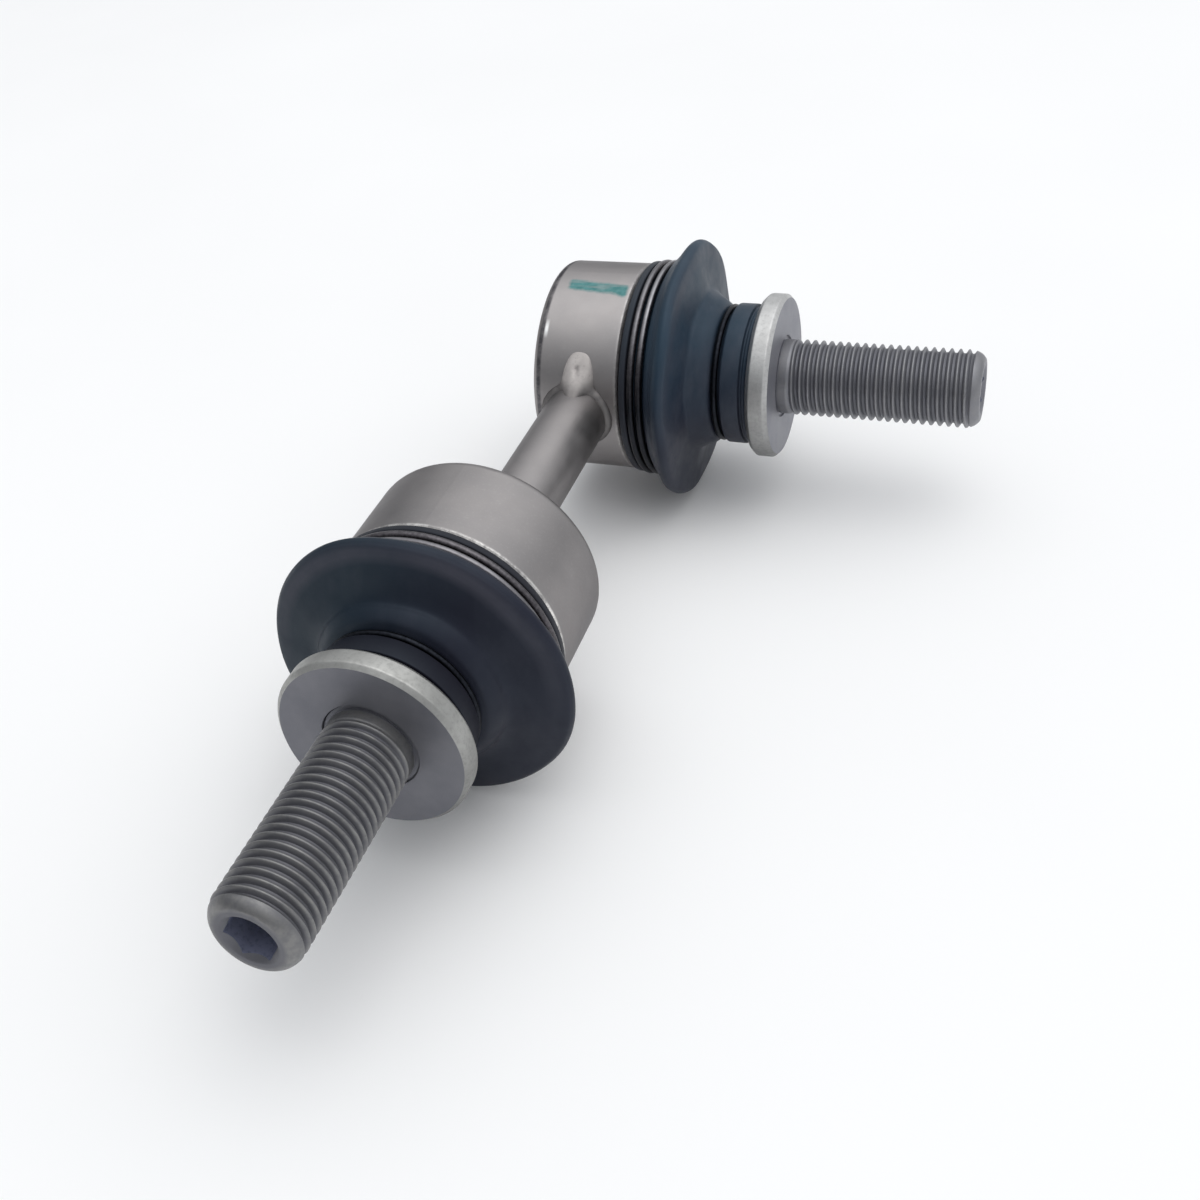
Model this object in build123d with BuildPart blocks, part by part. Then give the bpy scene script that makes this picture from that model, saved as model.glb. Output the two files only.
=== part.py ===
"""Stabilizer link with two ball studs: the near joint in line with the rod, the far one square to it.

Frame, in millimetres: the origin is on the near stud's axis at the seating face of its flange.
The near stud points along -Y, the rod runs along +Y, the far stud points along +X, and +Z is up.
Every joint profile is drawn as radius against height along the stud's axis, from the ball's centre.
"""
from build123d import *
import math
import os

# Ball studs
BALL_D = 22.0             # steel ball
BALL_FLAT_D = 7.0         # turned flat at the back of the ball
NECK_D = 12.0             # slim neck in front of the ball
NECK_TAPER_LENGTH = 4.6   # cone that widens the neck to the boot seat
BOOT_SEAT_D = 17.2        # land that the dust boot's small bead seals on
BOOT_SEAT_LENGTH = 6.4
FLANGE_D = 30.4
FLANGE_T = 4.0
FLANGE_CHAMFER = 0.7
UNDERCUT_D = 15.2         # ring recess round the root of the shank
UNDERCUT_ROOT_D = 13.4
UNDERCUT_DEPTH = 1.0
THREAD_D = 14.0           # major diameter, 1.5 mm pitch
THREAD_LENGTH = 35.0      # from the seating face to the tip
TIP_CHAMFER = 1.4
HEX_AF = 7.0              # drive socket, across flats
HEX_TURN = 30.0           # degrees: two of the flats face up and down
HEX_DEPTH = 8.0
HEX_LEAD_IN = 0.5         # depth and width of the lead-in cone

# Ball seats
BALL_CLEARANCE = 0.05     # running clearance round the ball
SEAT_WALL = 2.5           # beside the ball's equator
SEAT_BEHIND_BALL = 0.05   # how far the seat's back lies behind the ball socket
SEAT_MOUTH = 6.0          # height where the seat leaves the ball
SEAT_MOUTH_RISE = 0.8     # height and width of the flare above it
SEAT_MOUTH_FLARE = 0.7
SEAT_RELIEF_D = 10.0      # hole in the seat's floor

# Housings
HOUSING_D = 39.5
FIT_CLEARANCE = 0.05      # between a seat, ring or plate and its bore
SHOULDER = 2.75           # height of the shoulder that the boot butts against
SHOULDER_CHAMFER = 0.4
LAND_STEP = 2.55          # depth of the groove under the boot's large bead
LAND_LENGTH = 5.65
LIP_STEP = 1.4            # snap lip in front of the groove
LIP_T = 1.8
LIP_CHAMFER = 0.5
BACK_ROUND = 1.8          # rounded edge at the back of each housing
NEAR_BACK_WALL = 4.45     # solid back that the rod is welded to
FAR_MOUTH_ROOM = 4.4      # room round the neck in the far housing's mouth
FAR_MOUTH_FLARE = 1.2
ROLLED_LIP_GRIP = 1.0     # how far a rolled lip reaches over its ring or plate
FAR_ROLLED_LIP_T = 0.9

# Retaining ring and closing plate
RING_SEAT = 1.4           # width of the step that the ring sits on
RING_ROOM = 4.8           # room round the neck in the ring
RING_T = 1.6
PLATE_SEAT = 2.1          # width of the step that the plate sits on
PLATE_T = 2.0
PLATE_CHAMFER = 0.4

# Rod and welds
LINK_LENGTH = 80.0        # near ball's centre to the far stud's axis
FAR_BALL_OFFSET = 5.4     # far ball's centre in front of the rod's axis
ROD_D = 12.0
WELD_LEG = 1.8
WELD_CROWN_REACH = 4.6    # crown of weld metal on top of the rod, from its tip to the far housing
WELD_CROWN_TIP_W = 5.2
WELD_CROWN_TIP_H = 4.0
WELD_CROWN_TIP_SINK = 0.1 # the tip's top lies this far inside the rod
WELD_CROWN_FOOT_W = 8.8
WELD_CROWN_FOOT_H = 9.6
WELD_CROWN_FOOT_RISE = 1.4
WELD_CROWN_FOOT_SINK = 4.4

# Dust boots and their wire rings
BOOT_GAP = 0.3            # clearance between the rubber and its neighbours
BEAD_PROUD = 0.45         # large bead above the housing
BEAD_T = 1.4
CLIP_STEP = 1.1           # depth of the groove that holds the wire ring
CLIP_SLOPE = 0.2          # lean of the groove's two walls
CLIP_WIRE_D = 1.3
CLIP_TURNS = 2
CLIP_PITCH = 1.6
WIRE_GAP = 0.15           # between a wire and the rubber round it
FLARE_PROUD = 0.2         # start of the flare above the bead
FLARE_RISE = 2.45
BULGE_PROUD = 5.05        # widest part of the bulge above the housing
NOSE_DROP = 0.8           # the bulge's round nose starts and ends this much inside its widest part
NOSE_RISE = 1.2           # from either end of the nose to the widest part
FRONT_RISE = 2.2          # the shallow front face, from the nose to the fold
FOLD_RISE = 2.6           # the small fold between the front face and the neck
FOLD_ROUND = 0.35         # how far the fold's back is arched
FOLD_FOOT = 3.4           # the fold's foot outside the neck's middle radius
FOLD_STEP = 1.2           # the fold's end outside it
BOOT_WALL = 1.9           # rubber thickness in the bulge
NECK_WALL = 3.5           # rubber thickness at the neck's middle radius
NECK_WIRE_D = 1.1
NECK_STEP = 0.7           # groove below and bead above the neck's middle radius
NECK_SLOPE = 0.5          # lean of the neck groove's walls
NECK_BEAD_T = 4.8
NECK_BEAD_ROUND = 0.8
LIP_GROOVE_BACK = 1.4     # seal lip's groove: where it starts below the bead's end
LIP_GROOVE_T = 0.6
LIP_GROOVE_DEPTH = 0.7

# Radii from the inside out
ball_r = BALL_D / 2
neck_r = NECK_D / 2
boot_seat_r = BOOT_SEAT_D / 2
flange_r = FLANGE_D / 2
thread_r = THREAD_D / 2
hex_corner_r = HEX_AF / math.sqrt(3)
socket_r = ball_r + BALL_CLEARANCE
seat_mouth_r = math.sqrt(socket_r**2 - SEAT_MOUTH**2)
seat_r = socket_r + SEAT_WALL
bore_r = seat_r + FIT_CLEARANCE
ring_r = bore_r + RING_SEAT
ring_bore_r = neck_r + RING_ROOM
plate_r = bore_r + PLATE_SEAT
far_mouth_r = neck_r + FAR_MOUTH_ROOM
housing_r = HOUSING_D / 2
land_r = housing_r - LAND_STEP
lip_r = land_r + LIP_STEP
rod_r = ROD_D / 2

# Heights in the housings, above the ball's centre
seat_back = -(socket_r + SEAT_BEHIND_BALL)
seat_top = SEAT_MOUTH + SEAT_MOUTH_RISE
ring_top = seat_top + RING_T
groove_end = SHOULDER + LAND_LENGTH
housing_front = groove_end + LIP_T
near_back = seat_back - NEAR_BACK_WALL
plate_back = seat_back - PLATE_T
far_back = plate_back - FAR_ROLLED_LIP_T

# Dust boot, from its large bead to the flange that its small bead seals under
bead_r = housing_r + BEAD_PROUD
clip_land_r = bead_r - CLIP_STEP
bulge_r = housing_r + BULGE_PROUD
boot_bore_r = boot_seat_r + BOOT_GAP
neck_middle_r = boot_bore_r + NECK_WALL
neck_groove_r = neck_middle_r - NECK_STEP
neck_bead_r = neck_middle_r + NECK_STEP
nose_r = bulge_r - NOSE_DROP
fold_foot_r = neck_middle_r + FOLD_FOOT
fold_end_r = neck_middle_r + FOLD_STEP
bead_start = SHOULDER + BOOT_GAP
clip_land_start = bead_start + BEAD_T
clip_land_end = clip_land_start + (CLIP_TURNS - 1) * CLIP_PITCH + CLIP_WIRE_D + 2 * WIRE_GAP
flare_start = clip_land_end + CLIP_SLOPE
flare_end = flare_start + FLARE_RISE
bulge_h = flare_end + NOSE_RISE
nose_end = bulge_h + NOSE_RISE
fold_foot = nose_end + FRONT_RISE
fold_end = fold_foot + FOLD_RISE
neck_groove_start = fold_end + NECK_SLOPE
neck_groove_end = neck_groove_start + NECK_WIRE_D + 2 * WIRE_GAP
neck_bead_start = neck_groove_end + NECK_SLOPE
neck_bead_end = neck_bead_start + NECK_BEAD_T
lip_groove_start = neck_bead_end - LIP_GROOVE_BACK
lip_groove_end = lip_groove_start + LIP_GROOVE_T

# Heights along the stud
flange_back = neck_bead_end + BOOT_GAP
flange_front = flange_back + FLANGE_T
tip = flange_front + THREAD_LENGTH
taper_end = flange_back - BOOT_SEAT_LENGTH
taper_start = taper_end - NECK_TAPER_LENGTH

# Places
near_centre = Vector(0, flange_front, 0)
far_centre = Vector(FAR_BALL_OFFSET, flange_front + LINK_LENGTH, 0)
near_stud_dir = Vector(0, -1, 0)
far_stud_dir = Vector(1, 0, 0)
rod_start_y = flange_front - near_back
far_axis_y = far_centre.Y
rod_axis = Axis((0, 0, 0), (0, 1, 0))


class JointSite:
    """Where one ball joint stands: its profile plane, its axis and planes square to the stud."""

    def __init__(self, name, centre, direction):
        up = Vector(0, 0, 1)
        self.name = name
        self.centre = centre
        self.direction = direction
        self.profile = Plane(origin=centre, x_dir=up, z_dir=up.cross(direction))
        self.axis = Axis(origin=centre, direction=direction)

    def level(self, height):
        """Plane square to the stud at a height above the ball's centre, facing the stud's tip."""
        return Plane(origin=self.centre + self.direction * height, x_dir=(0, 0, 1), z_dir=self.direction)


near = JointSite("near", near_centre, near_stud_dir)
far = JointSite("far", far_centre, far_stud_dir)
sites = (near, far)
os.makedirs("parts", exist_ok=True)


def save(builder, label):
    """Name a finished piece and write it."""
    builder.part.label = label
    export_step(builder.part, f"parts/{label}.step")


# Ball studs: ball, neck, boot seat, flange with a ring recess, shank and drive socket
back_flat_r = BALL_FLAT_D / 2
back_flat_h = -math.sqrt(ball_r**2 - back_flat_r**2)
neck_joint_h = math.sqrt(ball_r**2 - neck_r**2)
for site in sites:
    with BuildPart() as stud:
        with BuildSketch(site.profile):
            with BuildLine():
                Polyline((0, tip), (0, back_flat_h), (back_flat_r, back_flat_h))
                ThreePointArc((back_flat_r, back_flat_h), (ball_r, 0), (neck_r, neck_joint_h))
                Polyline(
                    (neck_r, neck_joint_h),
                    (neck_r, taper_start),
                    (boot_seat_r, taper_end),
                    (boot_seat_r, flange_back),
                    (flange_r - FLANGE_CHAMFER, flange_back),
                    (flange_r, flange_back + FLANGE_CHAMFER),
                    (flange_r, flange_front - FLANGE_CHAMFER),
                    (flange_r - FLANGE_CHAMFER, flange_front),
                    (UNDERCUT_D / 2, flange_front),
                    (UNDERCUT_D / 2, flange_front - UNDERCUT_DEPTH),
                    (UNDERCUT_ROOT_D / 2, flange_front - UNDERCUT_DEPTH),
                    (UNDERCUT_ROOT_D / 2, flange_front),
                    (thread_r, flange_front),
                    (thread_r, tip - TIP_CHAMFER),
                    (thread_r - TIP_CHAMFER, tip),
                    (0, tip),
                )
            make_face()
        revolve(axis=site.axis)
        with BuildSketch(site.level(tip)):
            RegularPolygon(radius=HEX_AF / 2, side_count=6, major_radius=False, rotation=HEX_TURN)
        extrude(amount=-HEX_DEPTH, mode=Mode.SUBTRACT)
        with BuildSketch(site.level(tip)):
            Circle(hex_corner_r + HEX_LEAD_IN / 2)
        with BuildSketch(site.level(tip - HEX_LEAD_IN)):
            Circle(hex_corner_r - HEX_LEAD_IN / 2)
        loft(mode=Mode.SUBTRACT)
    save(stud, f"{site.name}_ball_stud")

# Ball seats: plastic cups that reach past the ball's equator, with a relief hole in the floor
relief_r = SEAT_RELIEF_D / 2
relief_h = -math.sqrt(socket_r**2 - relief_r**2)
for site in sites:
    with BuildPart() as seat:
        with BuildSketch(site.profile):
            with BuildLine():
                Polyline(
                    (relief_r, relief_h),
                    (relief_r, seat_back),
                    (seat_r, seat_back),
                    (seat_r, seat_top),
                    (seat_mouth_r + SEAT_MOUTH_FLARE, seat_top),
                    (seat_mouth_r, SEAT_MOUTH),
                )
                ThreePointArc((seat_mouth_r, SEAT_MOUTH), (socket_r, 0), (relief_r, relief_h))
            make_face()
        revolve(axis=site.axis)
    save(seat, f"{site.name}_ball_seat")

# Outer front of both housings: shoulder, boot groove and snap lip, from the outside to the mouth
housing_nose = [
    (housing_r, SHOULDER - SHOULDER_CHAMFER),
    (housing_r - SHOULDER_CHAMFER, SHOULDER),
    (land_r, SHOULDER),
    (land_r, groove_end),
    (lip_r, groove_end),
    (lip_r, housing_front - LIP_CHAMFER),
    (lip_r - LIP_CHAMFER, housing_front),
]

# Near housing: closed back, stepped bore, lip rolled over the retaining ring
near_lip_r = ring_r - ROLLED_LIP_GRIP
with BuildPart() as near_housing:
    with BuildSketch(near.profile):
        with BuildLine():
            Polyline((0, seat_back), (0, near_back), (housing_r - BACK_ROUND, near_back))
            RadiusArc(
                (housing_r - BACK_ROUND, near_back),
                (housing_r, near_back + BACK_ROUND),
                -BACK_ROUND,
            )
            Polyline((housing_r, near_back + BACK_ROUND), *housing_nose)
            Polyline(
                housing_nose[-1],
                (near_lip_r, housing_front),
                (near_lip_r, ring_top),
                (ring_r + FIT_CLEARANCE, ring_top),
                (ring_r + FIT_CLEARANCE, seat_top),
                (bore_r, seat_top),
                (bore_r, seat_back),
                (0, seat_back),
            )
        make_face()
    revolve(axis=near.axis)
save(near_housing, "near_housing")

# Far housing: bored from the back, flared mouth, lip rolled over the closing plate
far_lip_r = plate_r - ROLLED_LIP_GRIP
with BuildPart() as far_housing:
    with BuildSketch(far.profile):
        with BuildLine():
            Line((far_lip_r, far_back), (housing_r - BACK_ROUND, far_back))
            RadiusArc(
                (housing_r - BACK_ROUND, far_back),
                (housing_r, far_back + BACK_ROUND),
                -BACK_ROUND,
            )
            Polyline((housing_r, far_back + BACK_ROUND), *housing_nose)
            Polyline(
                housing_nose[-1],
                (far_mouth_r + FAR_MOUTH_FLARE, housing_front),
                (far_mouth_r, seat_top),
                (bore_r, seat_top),
                (bore_r, seat_back),
                (plate_r + FIT_CLEARANCE, seat_back),
                (plate_r + FIT_CLEARANCE, plate_back),
                (far_lip_r, plate_back),
                (far_lip_r, far_back),
            )
        make_face()
    revolve(axis=far.axis)
save(far_housing, "far_housing")

# Retaining ring in the near housing
with BuildPart() as retaining_ring:
    with BuildSketch(near.level(seat_top)):
        Circle(ring_r)
        Circle(ring_bore_r, mode=Mode.SUBTRACT)
    extrude(amount=RING_T)
save(retaining_ring, "near_retaining_ring")

# Closing plate in the far housing, chamfered where the lip is rolled over it
with BuildPart() as closing_plate:
    with BuildSketch(far.level(plate_back)):
        Circle(plate_r)
    extrude(amount=PLATE_T)
    chamfer(closing_plate.faces().sort_by(far.axis)[0].edges(), PLATE_CHAMFER)
save(closing_plate, "far_closing_plate")

# Rod: a round bar from the near housing's back to a saddle cut on the far housing's side
with BuildPart() as rod:
    with BuildSketch(Plane.XZ.offset(-rod_start_y)):
        Circle(rod_r)
    extrude(amount=rod_start_y - far_axis_y)
    with BuildSketch(far.level(-housing_r)):
        Circle(housing_r)
    extrude(amount=HOUSING_D, mode=Mode.SUBTRACT)
save(rod, "link_rod")

# Weld collars: a round fillet at the near housing's back, a saddle cut and crowned one at the far housing
weld_r = rod_r + WELD_LEG
with BuildPart() as near_weld:
    with BuildSketch(Plane.XY):
        with BuildLine():
            Polyline(
                (rod_r, rod_start_y),
                (weld_r, rod_start_y),
                (rod_r, rod_start_y + WELD_LEG),
                close=True,
            )
        make_face()
    revolve(axis=rod_axis)
save(near_weld, "near_rod_weld")

saddle_top_y = far_axis_y - housing_r
saddle_foot_y = far_axis_y - math.sqrt(housing_r**2 - weld_r**2)
crown_tip_z = rod_r - WELD_CROWN_TIP_SINK - WELD_CROWN_TIP_H / 2
crown_foot_z = rod_r + WELD_CROWN_FOOT_RISE
crown_tip_y = saddle_top_y - WELD_CROWN_REACH
crown_foot_y = saddle_top_y + WELD_CROWN_FOOT_SINK
crown_tip = Plane(origin=(0, crown_tip_y, crown_tip_z), x_dir=(1, 0, 0), z_dir=(0, 1, 0))
crown_foot = Plane(origin=(0, crown_foot_y, crown_foot_z), x_dir=(1, 0, 0), z_dir=(0, 1, 0))
with BuildPart() as far_weld:
    with BuildSketch(Plane.XY):
        with BuildLine():
            Polyline(
                (rod_r, saddle_top_y - WELD_LEG),
                (weld_r, saddle_top_y),
                (weld_r, saddle_foot_y),
                (rod_r, saddle_foot_y),
                close=True,
            )
        make_face()
    revolve(axis=rod_axis)
    with BuildSketch(crown_tip):
        Ellipse(WELD_CROWN_TIP_W / 2, WELD_CROWN_TIP_H / 2)
    with BuildSketch(crown_foot):
        Ellipse(WELD_CROWN_FOOT_W / 2, WELD_CROWN_FOOT_H / 2)
    loft()
    with BuildSketch(Plane.XZ.offset(-rod_start_y)):
        Circle(rod_r)
    extrude(amount=rod_start_y - far_axis_y, mode=Mode.SUBTRACT)
    with BuildSketch(far.level(-housing_r)):
        Circle(housing_r)
    extrude(amount=HOUSING_D, mode=Mode.SUBTRACT)
save(far_weld, "far_rod_weld")

# Dust boots: large bead, wire groove, flare, bulge, fold, neck groove, small bead and seal lip, hollow inside
fold_middle_r = (fold_foot_r + fold_end_r) / 2
fold_middle_h = (fold_foot + fold_end) / 2
for site in sites:
    with BuildPart() as boot:
        with BuildSketch(site.profile):
            with BuildLine():
                Polyline(
                    (land_r + BOOT_GAP, bead_start),
                    (bead_r, bead_start),
                    (bead_r, clip_land_start - CLIP_SLOPE),
                    (clip_land_r, clip_land_start),
                    (clip_land_r, clip_land_end),
                    (bead_r + FLARE_PROUD, flare_start),
                    (nose_r, flare_end),
                )
                ThreePointArc((nose_r, flare_end), (bulge_r, bulge_h), (nose_r, nose_end))
                Line((nose_r, nose_end), (fold_foot_r, fold_foot))
                ThreePointArc(
                    (fold_foot_r, fold_foot),
                    (fold_middle_r + FOLD_ROUND, fold_middle_h + FOLD_ROUND),
                    (fold_end_r, fold_end),
                )
                Polyline(
                    (fold_end_r, fold_end),
                    (neck_groove_r, neck_groove_start),
                    (neck_groove_r, neck_groove_end),
                    (neck_bead_r, neck_bead_start),
                    (neck_bead_r, lip_groove_start),
                    (neck_bead_r - LIP_GROOVE_DEPTH, lip_groove_start),
                    (neck_bead_r - LIP_GROOVE_DEPTH, lip_groove_end),
                    (neck_bead_r, lip_groove_end),
                    (neck_bead_r - NECK_BEAD_ROUND, neck_bead_end),
                    (boot_bore_r, neck_bead_end),
                    (boot_bore_r, taper_end),
                    (fold_end_r - BOOT_WALL, fold_end - BOOT_WALL),
                    (fold_foot_r - BOOT_WALL / 2, fold_foot - BOOT_WALL),
                    (bulge_r - BOOT_WALL, bulge_h),
                    (lip_r + BOOT_GAP, housing_front),
                    (lip_r + BOOT_GAP, groove_end - BOOT_GAP),
                    (land_r + BOOT_GAP, groove_end - BOOT_GAP),
                    (land_r + BOOT_GAP, bead_start),
                )
            make_face()
        revolve(axis=site.axis)
    save(boot, f"{site.name}_dust_boot")

# Wire rings: two turns round each large bead, one turn in each neck groove
clip_r = clip_land_r + WIRE_GAP + CLIP_WIRE_D / 2
first_turn_h = clip_land_start + WIRE_GAP + CLIP_WIRE_D / 2
neck_clip_r = neck_groove_r + WIRE_GAP + NECK_WIRE_D / 2
neck_clip_h = (neck_groove_start + neck_groove_end) / 2
for site in sites:
    with BuildPart() as housing_clip:
        with BuildSketch(site.profile):
            for turn in range(CLIP_TURNS):
                with Locations((clip_r, first_turn_h + turn * CLIP_PITCH)):
                    Circle(CLIP_WIRE_D / 2)
        revolve(axis=site.axis)
    save(housing_clip, f"{site.name}_housing_clip")

    with BuildPart() as neck_clip:
        with BuildSketch(site.profile):
            with Locations((neck_clip_r, neck_clip_h)):
                Circle(NECK_WIRE_D / 2)
        revolve(axis=site.axis)
    save(neck_clip, f"{site.name}_neck_clip")
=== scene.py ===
"""Looks of a short stabilizer link: a rod with a ball joint at each end, one in line and one square to it.

Points are in metres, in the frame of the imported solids, and the classes hold their sizes in millimetres.
A joint's shapes are drawn as radius against height: height runs along the stud from the ball's centre, and
the angle is counted from up.
"""
import logging
import math
from dataclasses import dataclass
from enum import Enum
from typing import Sequence, Union

import bmesh
import bpy
import numpy as np
from mathutils import Matrix, Vector


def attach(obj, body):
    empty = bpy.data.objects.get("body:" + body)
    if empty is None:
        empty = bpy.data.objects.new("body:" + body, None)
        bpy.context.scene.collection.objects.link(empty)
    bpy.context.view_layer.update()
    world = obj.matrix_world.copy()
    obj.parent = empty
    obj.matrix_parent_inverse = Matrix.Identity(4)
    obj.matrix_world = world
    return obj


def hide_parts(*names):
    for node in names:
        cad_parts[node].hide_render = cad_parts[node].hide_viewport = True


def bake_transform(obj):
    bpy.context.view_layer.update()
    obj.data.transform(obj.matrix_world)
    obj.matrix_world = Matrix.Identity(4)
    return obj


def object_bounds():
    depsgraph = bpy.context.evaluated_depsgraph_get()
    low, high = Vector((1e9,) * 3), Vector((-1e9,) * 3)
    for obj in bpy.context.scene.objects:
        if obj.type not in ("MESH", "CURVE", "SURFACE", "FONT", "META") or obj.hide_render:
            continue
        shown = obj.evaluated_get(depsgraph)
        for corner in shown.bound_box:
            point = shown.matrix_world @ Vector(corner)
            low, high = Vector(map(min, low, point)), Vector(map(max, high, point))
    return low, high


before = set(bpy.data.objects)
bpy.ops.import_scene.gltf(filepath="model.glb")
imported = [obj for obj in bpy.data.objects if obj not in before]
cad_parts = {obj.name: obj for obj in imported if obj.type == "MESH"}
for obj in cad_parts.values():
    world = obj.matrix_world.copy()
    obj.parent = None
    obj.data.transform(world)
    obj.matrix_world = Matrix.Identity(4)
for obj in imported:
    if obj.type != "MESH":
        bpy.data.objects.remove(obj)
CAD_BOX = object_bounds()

LOG = logging.getLogger("stabilizer_link")
MM = 0.001
TURN = 2.0 * math.pi
# Points round every part of a stud, so that neighbours share theirs.
COLUMNS = 144
Colour = tuple[float, float, float]
Socket = bpy.types.NodeSocket
Value = Union[float, Sequence[float], Socket]


# Surfaces

def softened(corners: Sequence[Sequence[float]], radius: float, steps: int = 4) -> np.ndarray:
    """Round the corners of an open profile.

    Each inner corner P becomes (1 - t)^2 A + 2 t (1 - t) P + t^2 B, where A and B lie on its two edges
    at the radius from P, or at 0.45 of the edge where that is less.

    Args:
        corners: the profile's corners, as radius and height.
        radius: how far from a corner the rounding starts.
        steps: points on each rounded corner, less one.

    Returns:
        The rounded profile, one point a row.
    """
    p = np.asarray(corners, float)
    mid, before, after = p[1:-1], p[:-2] - p[1:-1], p[2:] - p[1:-1]
    long_before = np.linalg.norm(before, axis=1, keepdims=True)
    long_after = np.linalg.norm(after, axis=1, keepdims=True)
    a = mid + before / long_before * np.minimum(radius, 0.45 * long_before)
    b = mid + after / long_after * np.minimum(radius, 0.45 * long_after)
    t = np.linspace(0.0, 1.0, steps + 1)[None, :, None]
    rounds = (1 - t) ** 2 * a[:, None] + 2 * t * (1 - t) * mid[:, None] + t**2 * b[:, None]
    return np.concatenate([p[:1], rounds.reshape(-1, 2), p[-1:]])


def flowing(points: Sequence[Sequence[float]], per_span: int = 6) -> np.ndarray:
    """Draw a smooth profile through its points.

    Between Q and R, with P before and S after, a point at t is
    0.5 (2 Q + (R - P) t + (2 P - 5 Q + 4 R - S) t^2 + (3 Q - P - 3 R + S) t^3).

    Args:
        points: the points that the profile passes through, as radius and height.
        per_span: new points for each pair of neighbours.

    Returns:
        The smooth profile, one point a row.
    """
    q = np.asarray(points, float)
    padded = np.concatenate([2 * q[:1] - q[1:2], q, 2 * q[-1:] - q[-2:-1]])
    p0, p1, p2, p3 = (padded[i:len(padded) - 3 + i, None] for i in range(4))
    t = np.linspace(0.0, 1.0, per_span, endpoint=False)[None, :, None]
    curve = 0.5 * (2 * p1 + (p2 - p0) * t + (2 * p0 - 5 * p1 + 4 * p2 - p3) * t**2
                   + (3 * p1 - p0 - 3 * p2 + p3) * t**3)
    return np.concatenate([curve.reshape(-1, 2), q[-1:]])


def smooth_step(value: np.ndarray) -> np.ndarray:
    """Ease from 0 to 1 as t^2 (3 - 2 t), with t held between 0 and 1."""
    t = np.clip(value, 0.0, 1.0)
    return t * t * (3 - 2 * t)


@dataclass
class Patch:
    """One grid of surface points: rows along the profile, columns round the axis.

    Args:
        points: rows by columns by three, in metres.
        closed: the last column joins the first.
        slot: which of the piece's finishes it shows.
    """

    points: np.ndarray
    closed: bool = True
    slot: int = 0

    def quads(self) -> np.ndarray:
        """Corner numbers of each face, so that column direction x row direction points outwards.

        Returns:
            One row of four point numbers for each face.
        """
        rows, columns = self.points.shape[:2]
        number = np.arange(rows * columns).reshape(rows, columns)
        right = np.roll(number, -1, axis=1) if self.closed else number[:, 1:]
        here = number if self.closed else number[:, :-1]
        return np.stack([here[:-1], right[:-1], right[1:], here[1:]], axis=-1).reshape(-1, 4)


def piece_from(name: str, patches: Sequence[Patch], finishes: Sequence[bpy.types.Material],
               sharp_deg: float = 38.0) -> bpy.types.Object:
    """Join patches into one closed, smooth shaded piece at the origin.

    Args:
        name: the piece's name.
        patches: its surface grids, which share points along their joints.
        finishes: its materials, in the order of the patches' slots.
        sharp_deg: edges that turn by more than this stay crisp.

    Returns:
        The new object, linked to the scene.
    """
    starts = np.cumsum([0] + [p.points.shape[0] * p.points.shape[1] for p in patches])
    points = np.concatenate([p.points.reshape(-1, 3) for p in patches])
    quads = np.concatenate([p.quads() + s for p, s in zip(patches, starts)])
    slots = np.concatenate([np.full(len(p.quads()), p.slot) for p in patches])
    mesh = bpy.data.meshes.new(name)
    mesh.from_pydata(points.tolist(), [], quads.tolist())
    mesh.polygons.foreach_set("material_index", slots.astype(np.int32))
    shape = bmesh.new()
    shape.from_mesh(mesh)
    bmesh.ops.remove_doubles(shape, verts=shape.verts, dist=1.5e-6)
    bmesh.ops.dissolve_degenerate(shape, edges=shape.edges, dist=1e-7)
    shape.to_mesh(mesh)
    shape.free()
    mesh.polygons.foreach_set("use_smooth", np.ones(len(mesh.polygons), bool))
    mesh.set_sharp_from_angle(angle=math.radians(sharp_deg))
    for finish in finishes:
        mesh.materials.append(finish)
    mesh.update()
    piece = bpy.data.objects.new(name, mesh)
    bpy.context.scene.collection.objects.link(piece)
    return piece


# Node materials

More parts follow.
